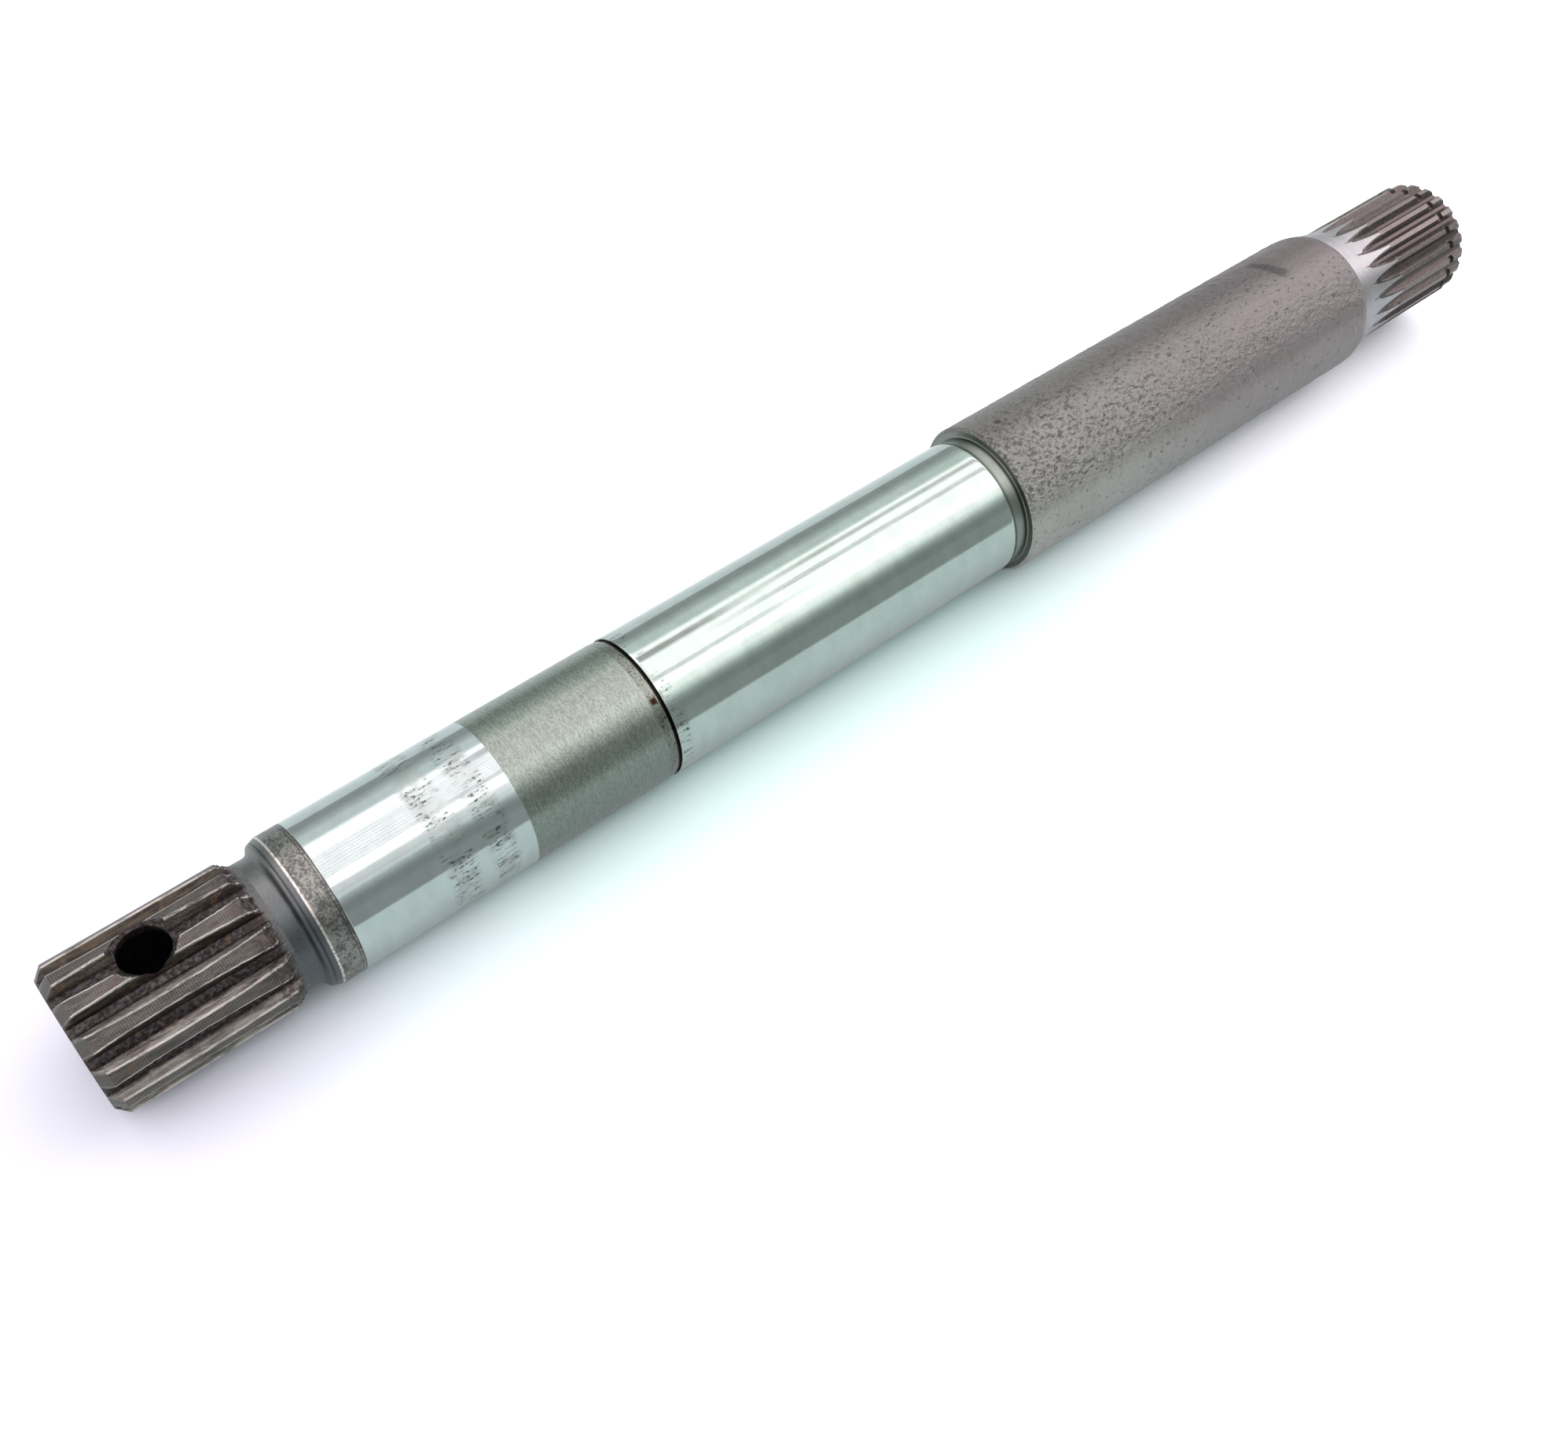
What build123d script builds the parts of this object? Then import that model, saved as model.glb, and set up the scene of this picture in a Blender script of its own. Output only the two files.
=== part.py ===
from build123d import *

import math
import os

# A splined drive shaft, forged as one piece, then turned, hobbed and ground.
# Lengths are in millimetres. "left" is the coarse-splined end and "right" the fine-splined end.
# The shaft is built standing on its left end, about Z, and laid along X at the end, on its
# forged body, with the cross hole upright.

# --- lengths of the stretches, from left to right --------------------------------------------
left_spline_length = 27.4       # full-height lands, from the left end face
left_land_run_down = 2.0        # cone from the lands down to the neck
left_neck_length = 3.4
left_shoulder_length = 3.0      # fillet and chamfer from the neck up to the journal
seal_band_length = 3.9          # unground band between the shoulder and the first journal
journal_one_length = 31.0
brushed_length = 27.7           # brushed stretch between the two journals
journal_groove_width = 0.55     # narrow groove at the start of the second journal
journal_two_length = 76.05
undercut_width = 2.6            # grinding undercut against the forged shoulder
forged_length = 98.9            # forged body, with its chamfered left rim and rounded right one
right_neck_length = 12.9        # ground neck that the fine hob ran out into
right_spline_length = 21.0      # from the end of the neck to the right end face

# --- diameters -------------------------------------------------------------------------------
journal_diameter = 26.0
unground_diameter = 25.94       # seal band and brushed stretch, beside the ground journals
left_tip_diameter = 25.0
left_root_diameter = 21.9
left_neck_diameter = 22.1
left_rim_diameter = 21.5        # end face, inside the end chamfer
journal_groove_diameter = 25.2
undercut_diameter = 25.5
forged_diameter = 29.2          # at the left rim
forged_draft_diameter = 28.84   # at the right end: the dies' draft
right_neck_diameter = 25.8
right_tip_diameter = 24.9
right_root_diameter = 22.8
ring_groove_diameter = 23.0
right_rim_diameter = 23.9

# --- coarse spline, left ---------------------------------------------------------------------
left_teeth = 13
left_gap_top = 4.34             # straight across a gap, at the tips
left_gap_floor = 1.6            # straight across a gap's floor
left_root_fillet = 0.35
left_gap_angle = -5.5           # from the cross hole to the nearest gap, in degrees
left_end_chamfer = 1.7          # length of the lead-in along the shaft
left_cutter_radius = 30.0
left_cut_short = 0.5            # how far before the neck the gaps leave their full depth

# --- fine spline, right ----------------------------------------------------------------------
right_teeth = 23
right_gap_top = 2.42
right_gap_floor = 0.7
right_root_fillet = 0.2
right_gap_angle = 1.05          # from the cross hole's direction to the nearest gap
right_end_chamfer = 0.9
right_cutter_radius = 34.0
right_step_length = 0.5         # cone from the ground neck down to the tips
right_scallop_setback = 4.6     # from the forged body to where the hob first bites

# --- retaining-ring groove near the right end ------------------------------------------------
ring_groove_width = 1.3
ring_groove_from_end = 3.7      # end face to the groove's near wall

# --- cross hole in the coarse spline ---------------------------------------------------------
cross_hole_diameter = 8.0
cross_hole_from_end = 14.1
countersink_diameter = 10.3
countersink_angle = 90.0

# --- centre holes that the shaft was turned and ground on ------------------------------------
centre_diameter = 6.7
centre_angle = 60.0
centre_drill_diameter = 3.15
centre_drill_depth = 7.0

# --- edges -----------------------------------------------------------------------------------
neck_fillet = 1.1
shoulder_foot = 0.75            # from the neck's end to the foot of the shoulder's steep part
shoulder_break = 1.5            # from the neck's end to where the steep part meets the chamfer
shoulder_step = 0.72            # share of the shoulder's height that the steep part takes
groove_chamfer_length = 1.7     # faint chamfer before the narrow groove
groove_chamfer_depth = 0.12
undercut_ramp = 0.85            # length of the slope from the journal into the undercut
undercut_fillet = 0.25
rim_chamfer = 0.55
forged_round_length = 4.2       # along the shaft, over the rounded right shoulder
forged_round = 2.6

overcut = 1.0                   # how far a cutter passes outside what it cuts
run_out_clearance = 0.25        # how far a hob is lifted past the neck before it stops
flank_bulge = 0.05              # how far a tooth's flank bows out from straight
pick = 0.01                     # how near an edge is to the place it is looked for

# --- stations along the shaft, worked out from the lengths -----------------------------------
neck_start = left_spline_length + left_land_run_down
neck_end = neck_start + left_neck_length
shoulder_corner = neck_end + shoulder_foot
shoulder_top = neck_end + left_shoulder_length
journal_one_start = shoulder_top + seal_band_length
brushed_start = journal_one_start + journal_one_length
groove_start = brushed_start + brushed_length
journal_two_start = groove_start + journal_groove_width
journal_two_end = journal_two_start + journal_two_length
forged_start = journal_two_end + undercut_width
forged_end = forged_start + forged_length
forged_round_start = forged_end - forged_round_length
right_neck_end = forged_end + right_neck_length
total_length = right_neck_end + right_spline_length
ring_groove_end = total_length - ring_groove_from_end
ring_groove_start = ring_groove_end - ring_groove_width

journal_radius = journal_diameter / 2
unground_radius = unground_diameter / 2
left_tip_radius = left_tip_diameter / 2
left_neck_radius = left_neck_diameter / 2
undercut_radius = undercut_diameter / 2
forged_radius = forged_diameter / 2
forged_end_radius = forged_draft_diameter / 2
right_neck_radius = right_neck_diameter / 2
right_tip_radius = right_tip_diameter / 2
rest_height = max(forged_radius, journal_radius, left_tip_radius)


def turned_profile():
    """Points of the half section, (radius, distance from the left end), up the shaft."""
    shoulder_radius = left_neck_radius + shoulder_step * (unground_radius - left_neck_radius)
    return [
        (0, 0),
        (left_rim_diameter / 2, 0),
        (left_tip_radius, left_end_chamfer),
        (left_tip_radius, left_spline_length),
        (left_neck_radius, neck_start),
        (left_neck_radius, shoulder_corner),
        (shoulder_radius, neck_end + shoulder_break),
        (unground_radius, shoulder_top),
        (unground_radius, journal_one_start),
        (journal_radius, journal_one_start),
        (journal_radius, brushed_start),
        (unground_radius, brushed_start),
        (unground_radius, groove_start - groove_chamfer_length),
        (unground_radius - groove_chamfer_depth, groove_start),
        (journal_groove_diameter / 2, groove_start),
        (journal_groove_diameter / 2, journal_two_start),
        (journal_radius, journal_two_start),
        (journal_radius, journal_two_end),
        (undercut_radius, journal_two_end + undercut_ramp),
        (undercut_radius, forged_start),
        (forged_radius - rim_chamfer, forged_start),
        (forged_radius, forged_start + rim_chamfer),
        (forged_end_radius, forged_round_start),
        (right_neck_radius, forged_end),
        (right_neck_radius, right_neck_end - right_step_length),
        (right_tip_radius, right_neck_end),
        (right_tip_radius, ring_groove_start),
        (ring_groove_diameter / 2, ring_groove_start),
        (ring_groove_diameter / 2, ring_groove_end),
        (right_tip_radius, ring_groove_end),
        (right_tip_radius, total_length - right_end_chamfer),
        (right_rim_diameter / 2, total_length),
        (0, total_length),
    ]


def gap_section(height, root_radius, tip_radius, floor_width, top_width, fillet_radius, reach):
    """One tooth gap, square to the shaft at a height, with its middle on +X. It reaches past
    the tips, to clear the neck."""
    half_floor = floor_width / 2
    half_top = top_width / 2
    slope = (half_top - half_floor) / (tip_radius - root_radius)
    half_reach = half_top + slope * (reach - tip_radius)
    middle_radius = (root_radius + tip_radius) / 2
    half_middle = (half_floor + half_top) / 2 - flank_bulge
    with BuildSketch(Plane.XY.offset(height)) as gap:
        with BuildLine():
            floor = Line((root_radius, -half_floor), (root_radius, half_floor))
            right = ThreePointArc(floor @ 1, (middle_radius, half_middle), (tip_radius, half_top))
            right_out = Line(right @ 1, (reach, half_reach))
            left = ThreePointArc(floor @ 0, (middle_radius, -half_middle), (tip_radius, -half_top))
            left_out = Line(left @ 1, (reach, -half_reach))
            Line(right_out @ 1, left_out @ 1)
        make_face()
        fillet(vertices().sort_by(Axis.X)[:2], fillet_radius)
    return gap.sketch


def gap_cutter(section, root_radius, neck_radius, cutter_radius, full_depth, open_end):
    """One gap's cutter: straight from the open end to full depth, then up out of the neck on
    the hob's own radius."""
    side = 1 if full_depth > open_end else -1
    climb = neck_radius + run_out_clearance - root_radius
    run_out_angle = math.degrees(math.acos(1 - climb / cutter_radius))
    hob_axis = Axis((root_radius + cutter_radius, 0, full_depth), (0, -side, 0))
    with BuildPart() as one_gap:
        extrude(section, amount=-side * abs(full_depth - open_end))
        revolve(section, axis=hob_axis, revolution_arc=run_out_angle)
    return one_gap.part


# The left gaps come to full depth where the lands' cone meets the neck; the right gaps where
# the hob, started outside the neck, has sunk to the root.
left_root_radius = left_root_diameter / 2
right_root_radius = right_root_diameter / 2
left_reach = left_tip_radius + overcut
right_reach = right_neck_radius + overcut
right_climb = right_neck_radius - right_root_radius
right_run_out = math.sqrt(2 * right_cutter_radius * right_climb - right_climb ** 2)
right_scallop_start = forged_end + right_scallop_setback
right_full_depth = right_scallop_start + right_run_out
left_full_depth = neck_start - left_cut_short

left_section = gap_section(
    left_full_depth, left_root_radius, left_tip_radius, left_gap_floor, left_gap_top,
    left_root_fillet, left_reach)
left_gap = gap_cutter(
    left_section, left_root_radius, left_neck_radius, left_cutter_radius, left_full_depth,
    -overcut)
right_section = gap_section(
    right_full_depth, right_root_radius, right_tip_radius, right_gap_floor, right_gap_top,
    right_root_fillet, right_reach)
right_gap = gap_cutter(
    right_section, right_root_radius, right_neck_radius, right_cutter_radius, right_full_depth,
    total_length + overcut)

with BuildPart() as standing_shaft:
    with BuildSketch(Plane.XZ):
        with BuildLine():
            Polyline(*turned_profile(), close=True)
        make_face()
    revolve(axis=Axis.Z)

    # the concave corner at the neck, the undercut's corner and the forged body's rounded end
    rings = edges().filter_by(GeomType.CIRCLE)
    neck_corner = rings.filter_by_position(
        Axis.Z, shoulder_corner - pick, shoulder_corner + pick)
    fillet(neck_corner, neck_fillet)
    undercut_corner = [
        edge for edge in edges().filter_by(GeomType.CIRCLE)
        if abs(edge.center().Z - forged_start) < pick and abs(edge.radius - undercut_radius) < pick]
    fillet(undercut_corner, undercut_fillet)
    round_edge = edges().filter_by(GeomType.CIRCLE).filter_by_position(
        Axis.Z, forged_round_start - pick, forged_round_start + pick)
    fillet(round_edge, forged_round)

    # the two splines
    with PolarLocations(0, left_teeth, start_angle=180 + left_gap_angle):
        add(left_gap, mode=Mode.SUBTRACT)
    with PolarLocations(0, right_teeth, start_angle=180 + right_gap_angle):
        add(right_gap, mode=Mode.SUBTRACT)

    # the cross hole, countersunk from both sides of the spline
    hole_plane = Plane(origin=(0, 0, cross_hole_from_end), x_dir=(0, 1, 0), z_dir=(1, 0, 0))
    with BuildSketch(hole_plane):
        Circle(cross_hole_diameter / 2)
    extrude(amount=left_tip_diameter, both=True, mode=Mode.SUBTRACT)
    for out in (1, -1):
        mouth = Plane(
            origin=(out * left_tip_radius, 0, cross_hole_from_end), x_dir=(0, 1, 0), z_dir=(out, 0, 0))
        with Locations(mouth):
            CounterSinkHole(
                cross_hole_diameter / 2, countersink_diameter / 2, depth=left_tip_radius,
                counter_sink_angle=countersink_angle)

    # centre holes in both end faces
    bottom = Plane(origin=(0, 0, 0), x_dir=(1, 0, 0), z_dir=(0, 0, -1))
    top = Plane(origin=(0, 0, total_length), x_dir=(1, 0, 0), z_dir=(0, 0, 1))
    for end_plane in (bottom, top):
        with Locations(end_plane):
            CounterSinkHole(
                centre_drill_diameter / 2, centre_diameter / 2, depth=centre_drill_depth,
                counter_sink_angle=centre_angle)

with BuildPart() as splined_shaft:
    with Locations(Location((-total_length / 2, 0, rest_height), (0, 90, 0))):
        add(standing_shaft.part)

splined_shaft.part.label = "splined_shaft"
os.makedirs("parts", exist_ok=True)
export_step(splined_shaft.part, "parts/splined_shaft.step")
print("length", total_length, "volume", round(splined_shaft.part.volume))
print("box", splined_shaft.part.bounding_box())
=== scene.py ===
import math

import bpy
import numpy as np
from mathutils import Matrix, Vector


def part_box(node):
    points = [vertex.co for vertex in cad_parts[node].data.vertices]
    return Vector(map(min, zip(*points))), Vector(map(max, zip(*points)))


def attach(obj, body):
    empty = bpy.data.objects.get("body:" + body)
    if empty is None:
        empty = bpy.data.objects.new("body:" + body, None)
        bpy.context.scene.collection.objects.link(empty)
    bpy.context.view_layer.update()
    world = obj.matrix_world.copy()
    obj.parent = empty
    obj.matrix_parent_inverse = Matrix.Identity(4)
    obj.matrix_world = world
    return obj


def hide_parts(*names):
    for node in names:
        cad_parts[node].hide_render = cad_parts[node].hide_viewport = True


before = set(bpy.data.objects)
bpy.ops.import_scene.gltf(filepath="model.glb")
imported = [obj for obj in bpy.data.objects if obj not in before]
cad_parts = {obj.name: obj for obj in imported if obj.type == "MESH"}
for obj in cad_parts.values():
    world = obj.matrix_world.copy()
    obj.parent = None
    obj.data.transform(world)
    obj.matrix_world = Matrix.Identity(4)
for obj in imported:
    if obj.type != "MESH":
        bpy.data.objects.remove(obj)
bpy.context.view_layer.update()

# --- the shaft's frame, in millimetres -------------------------------------------------------
# "along" is the distance from the left (coarse-splined) end face; "turn" is the angle round the
# shaft in degrees, from +Y through +Z; "radius" is from the shaft's axis.
LOW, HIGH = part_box("splined_shaft")
MM = 0.001
LENGTH = (HIGH.x - LOW.x) / MM
AXIS_Z = (LOW.z + HIGH.z) / 2 / MM
AXIS_Y = (LOW.y + HIGH.y) / 2 / MM
BODY_RADIUS = (HIGH.z - LOW.z) / 2 / MM

# stations along the shaft: where the stretch of that name starts, unless the name says otherwise
LEAD_IN = 1.7  # where the lead-in cone ends
LANDS_END = 28.9
LANDS_FALL = 1.7  # how far the lands take to fall to the neck
NECK_END = 32.8
SHOULDER_TOP = 35.8
JOURNAL_ONE = 39.7
BRUSHED = 70.7
GROOVE = 98.4
JOURNAL_TWO = 98.95
UNDERCUT = 175.0
FORGED = 178.4
SHOULDER = 273.0  # where the forged body starts to round over
SHOULDER_FOOT = 275.7
FORGED_END = 276.5
SCALLOPS = 281.1
FINE_TEETH = 289.4
RING_GROOVE = (305.4, 306.7)

# radii
LEFT_RIM, LEFT_ROOT, LEFT_TIP = 10.75, 10.95, 12.5
NECK = 11.05
BAND, JOURNAL = 12.97, 13.0
RIGHT_NECK, RIGHT_TIP, RIGHT_ROOT, RIGHT_RIM = 12.9, 12.45, 11.4, 11.95
RING_FLOOR = 11.75

# splines
LEFT_TEETH, LEFT_GAP_TURN = 13, 84.5
LEFT_FLOOR_TURN, LEFT_EDGE_TURN = 3.75, 9.7  # half a gap, in degrees, at its floor and at the lands
RIGHT_TEETH, RIGHT_GAP_TURN = 23, 91.05
RIGHT_HALF_FLOOR, RIGHT_HALF_TOP = 0.35, 1.21
HOB_RADIUS = 34.0
HOB_CLIMB = RIGHT_NECK - RIGHT_ROOT
FULL_DEPTH = SCALLOPS + math.sqrt(2 * HOB_RADIUS * HOB_CLIMB - HOB_CLIMB ** 2)

# the dent and the darkening along it in the forged body lie askew by this angle
DENT_COS, DENT_SIN = 0.952, 0.306

# cross hole and centre holes
HOLE_ALONG, HOLE_RADIUS, SINK_RADIUS = 14.1, 4.0, 5.15
HOLE_LEAN = 4.0  # degrees round the shaft
CENTRE_MOUTH, CENTRE_DRILL, CENTRE_DEPTH = 3.35, 1.575, 7.0

# the finishes' places in the mesh's list of materials
ZONE_COARSE, ZONE_NECK, ZONE_GROUND, ZONE_BRUSHED, ZONE_FORGED, ZONE_FINE = range(6)

rng = np.random.default_rng(7)


# --- small numeric helpers -------------------------------------------------------------------
def smooth(low, high, value):
    """0 below low, 1 above high, eased between."""
    t = np.clip((value - low) / (high - low), 0, 1)
    return t * t * (3 - 2 * t)


def waves(along, turn, radius, wavelength, count=28):
    """Seeded unevenness about 0, of about that wavelength in mm, with no seam round the shaft."""
    angle = np.radians(turn)
    point = np.stack(np.broadcast_arrays(along, radius * np.cos(angle), radius * np.sin(angle)), -1)
    total = np.zeros(point.shape[:-1])
    for _ in range(count):
        way = rng.normal(size=3)
        way /= np.linalg.norm(way)
        length = wavelength * rng.uniform(0.7, 1.5)
        total += np.cos(point @ way * 2 * np.pi / length + rng.uniform(0, 6.3))
    return total / math.sqrt(count)


# --- the skin: rings of points round the shaft, joined in order --------------------------------
class Skin:
    """A closed mesh made of rings. A ring is one station along the shaft with its own count of
    points; rings of different counts are zipped together."""

    def __init__(self):
        self.points, self.faces, self.zones = [], [], []
        self.spot, self.side = [], []
        self.count = 0
        self.start = self.last = None

    def ring(self, along, turn, radius, zone, spot=None, side=None):
        """Adds a ring. spot is 0 at a gap's centre and 1 at a land's, side is + or - by flank."""
        turn = np.asarray(turn, float)
        n = len(turn)
        along = np.broadcast_to(np.asarray(along, float), n)
        radius = np.broadcast_to(np.asarray(radius, float), n)
        angle = np.radians(turn)
        self.points.append(np.stack([
            LOW.x + along * MM,
            (AXIS_Y + radius * np.cos(angle)) * MM,
            (AXIS_Z + radius * np.sin(angle)) * MM], -1))
        self.spot.append(np.zeros(n) if spot is None else np.asarray(spot, float))
        self.side.append(np.zeros(n) if side is None else np.asarray(side, float))
        index = np.arange(self.count, self.count + n)
        self.count += n
        if self.last is None:
            self.start = index
        else:
            self.join(self.last, (index, turn), zone)
        self.last = (index, turn)

    def join(self, a, b, zone):
        """Faces between two rings, as quads where their counts agree. Otherwise the second ring
        is rolled to start beside the first, and both are zipped in order of their angles."""
        (ia, ta), (ib, tb) = a, b
        if len(ia) == len(ib):
            quads = np.stack([ia, ib, np.roll(ib, -1), np.roll(ia, -1)], -1)
            self.faces += quads.tolist()
            self.zones += [zone] * len(quads)
            return
        n, m = len(ia), len(ib)
        nearest = int(np.argmin(np.abs((tb - ta[0] + 180) % 360 - 180)))
        ib, tb = np.roll(ib, -nearest), np.roll(tb, -nearest)
        first = ta[0] + (tb[0] - ta[0] + 180) % 360 - 180
        tb = first + (tb - tb[0]) % 360
        i = j = 0
        while i < n or j < m:
            next_a = ta[(i + 1) % n] + 360 * ((i + 1) // n) if i < n else math.inf
            next_b = tb[(j + 1) % m] + 360 * ((j + 1) // m) if j < m else math.inf
            if next_a <= next_b:
                self.faces.append([int(ia[i % n]), int(ib[j % m]), int(ia[(i + 1) % n])])
                i += 1
            else:
                self.faces.append([int(ia[i % n]), int(ib[j % m]), int(ib[(j + 1) % m])])
                j += 1
            self.zones.append(zone)

    def cap(self, along, zone, first=False):
        """Closes the last (or the first) ring with one point on the axis."""
        self.points.append(np.array([[LOW.x + along * MM, AXIS_Y * MM, AXIS_Z * MM]]))
        self.spot.append(np.zeros(1))
        self.side.append(np.zeros(1))
        tip = self.count
        self.count += 1
        index = self.start if first else self.last[0]
        around = np.roll(index, -1)
        for a, b in zip(index.tolist(), around.tolist()):
            self.faces.append([tip, a, b] if first else [b, a, tip])
            self.zones.append(zone)


# --- columns and sections of the two splines ---------------------------------------------------
# how far from a gap's centre (0) to a land's centre (1) the columns of points stand; a gap's
# floor ends at 0.30 and its flank, at the land's edge, at 0.62
ACROSS_LEFT = np.array([
    0.0, 0.10, 0.20, 0.26, 0.30, 0.34, 0.39, 0.45, 0.51, 0.56, 0.60, 0.62, 0.64, 0.70, 0.78, 0.86, 0.94])
ACROSS_RIGHT = np.array([0.0, 0.15, 0.25, 0.30, 0.37, 0.45, 0.53, 0.59, 0.62, 0.67, 0.82])
MARKS = [0.0, 0.30, 0.62, 1.0]


def tooth_columns(floor_edge, edge, pitch, across):
    """Angle of each column from its gap's centre, one row a tooth."""
    return np.array([np.interp(across, MARKS, [0, f, e, pitch / 2]) for f, e in zip(floor_edge, edge)])


def mirrored(across):
    """Both halves of a tooth, as (position 0 to 1, +1 or -1 for its side)."""
    up = [(a, 1) for a in across]
    down = [(a, -1) for a in across[::-1] if a > 0]
    return up + [(1.0, 1)] + down


def soft_min(a, b, round_off):
    """The smaller of two heights, with a rounded corner where they cross."""
    h = np.clip(0.5 + 0.5 * (b - a) / round_off, 0, 1)
    return b + (a - b) * h - round_off * h * (1 - h)


def coarse_spline(skin):
    """The 13 worn teeth: lands waisted by wear in their middle, a lead-in cone at the end face
    and ragged ends towards the neck."""
    pitch = 360 / LEFT_TEETH
    plan = mirrored(ACROSS_LEFT)
    position = np.array([p for p, _ in plan])
    side = np.array([s for _, s in plan])
    teeth = np.arange(LEFT_TEETH)
    land_turn = LEFT_GAP_TURN + (teeth + 0.5) * pitch
    stations = np.concatenate([
        [0.0, 0.1, 0.22, 0.45, 0.75, 1.1, 1.4, 1.6, 1.72, 1.9, 2.3],
        np.arange(2.9, 26.8, 0.6),
        np.arange(27.0, 31.3, 0.2)])
    wear = rng.uniform(0.75, 1.2, (2, LEFT_TEETH))
    skewed = 0.22 * (1 - np.cos(np.radians(land_turn - 43)))
    ends = LANDS_END - 0.35 + skewed + rng.normal(0, 0.12, LEFT_TEETH)
    floors = np.full(LEFT_TEETH, LEFT_FLOOR_TURN)
    waist = 14.0
    for along in stations:
        bow = 1 - min(abs(along - waist) / waist, 1) ** 2.2
        wander = [0.16 * waves(along, land_turn + flank, LEFT_TIP, 3.5, 8) for flank in (0, 9)]
        edges = [LEFT_EDGE_TURN - 2.5 * (1 - bow) * wear[i] + wander[i] for i in (0, 1)]
        columns = [tooth_columns(floors, edge, pitch, position) for edge in edges]
        half = np.where(side > 0, columns[0], columns[1])
        edge = np.where(side > 0, edges[0][:, None], edges[1][:, None])
        turn = LEFT_GAP_TURN + teeth[:, None] * pitch + np.where(side > 0, half, pitch - half)
        reach = np.clip((half - LEFT_FLOOR_TURN) / (edge - LEFT_FLOOR_TURN), 0, 1)
        gap = LEFT_ROOT + (LEFT_TIP - LEFT_ROOT) * reach ** 1.1
        gap = gap - 0.07 * np.exp(-((half - 3.9) / 0.55) ** 2) + 0.10 * np.sin(np.pi * reach) * (1 - bow)
        gap = gap + 0.035 * waves(along, turn, 11.5, 1.5, 14) * (1 - smooth(0.3, 0.8, reach))
        end_at = ends[:, None] + 0.22 * waves(along, turn, LEFT_TIP, 1.4, 12)
        fall = LEFT_TIP - (LEFT_TIP - NECK) * np.clip((along - end_at) / LANDS_FALL, 0, 1) ** 0.85
        lead = LEFT_RIM + (LEFT_TIP - LEFT_RIM) * along / LEAD_IN
        radius = soft_min(gap, np.minimum(fall, LEFT_TIP), 0.05)
        radius = soft_min(radius, np.full_like(radius, lead), 0.05)
        merge = smooth(30.0, 31.0, along)
        radius = radius * (1 - merge) + np.maximum(NECK, radius * (1 - merge) + NECK * merge) * merge
        spot = np.broadcast_to(position, turn.shape)
        flanks = side * np.sin(np.pi * spot)
        skin.ring(along, turn.ravel(), radius.ravel(), ZONE_COARSE, spot.ravel(), flanks.ravel())


def fine_spline(skin):
    """The 23 fine teeth: the hob's run-outs climb through the ground neck as pointed scallops."""
    pitch = 360 / RIGHT_TEETH
    plan = mirrored(ACROSS_RIGHT)
    position = np.array([p for p, _ in plan])
    side = np.array([s for _, s in plan])
    teeth = np.arange(RIGHT_TEETH)
    stations = np.concatenate([
        [281.0],
        np.arange(281.2, 292.2, 0.36),
        np.arange(292.6, 305.0, 1.1),
        [305.2, 305.38, 305.46, 305.9, 306.3, 306.62, 306.7, 306.95],
        [307.8, 308.7, 309.3, 309.6, 309.85, 310.1, 310.3, LENGTH]])
    slope = (RIGHT_HALF_TOP - RIGHT_HALF_FLOOR) / (RIGHT_TIP - RIGHT_ROOT)
    shift = rng.normal(0, 0.22, RIGHT_TEETH)[:, None]
    for along in stations:
        before = np.maximum(FULL_DEPTH + shift - along, 0)
        floor = RIGHT_ROOT + HOB_RADIUS - np.sqrt(HOB_RADIUS ** 2 - before ** 2)
        top = RIGHT_NECK + (RIGHT_TIP - RIGHT_NECK) * float(smooth(FINE_TEETH - 0.6, FINE_TEETH, along))
        depth = np.maximum(top - floor, 0)
        half_floor = np.maximum(RIGHT_HALF_FLOOR * np.sqrt(np.clip(depth / 0.12, 0, 1)), 0.12)
        floor_edge = np.degrees(half_floor / floor)
        edge = np.minimum(np.degrees((half_floor + slope * depth + 0.03) / top), pitch / 2 - 0.3)
        half = tooth_columns(floor_edge[:, 0], edge[:, 0], pitch, position)
        turn = RIGHT_GAP_TURN + teeth[:, None] * pitch + np.where(side > 0, half, pitch - half)
        reach = np.clip((half - floor_edge) / (edge - floor_edge), 0, 1)
        radius = np.minimum(floor + depth * reach ** 1.15, top)
        if RING_GROOVE[0] < along < RING_GROOVE[1]:
            radius = np.minimum(radius, RING_FLOOR)
        lead = RIGHT_TIP - (RIGHT_TIP - RIGHT_RIM) * float(smooth(LENGTH - 1.1, LENGTH, along))
        radius = soft_min(radius, np.full_like(radius, lead), 0.06)
        spot = np.where(depth > 0.01, np.broadcast_to(position, turn.shape), 1.0)
        flanks = side * np.sin(np.pi * position) * (spot < 1)
        skin.ring(along, turn.ravel(), radius.ravel(), ZONE_FINE, spot.ravel(), flanks.ravel())


def round_stretch(skin, stations, zone, columns=150):
    """Plain turned rings at (along, radius)."""
    turn = np.arange(columns) * 360 / columns
    for along, radius in stations:
        skin.ring(along, turn, radius, zone, np.ones(columns))


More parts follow.
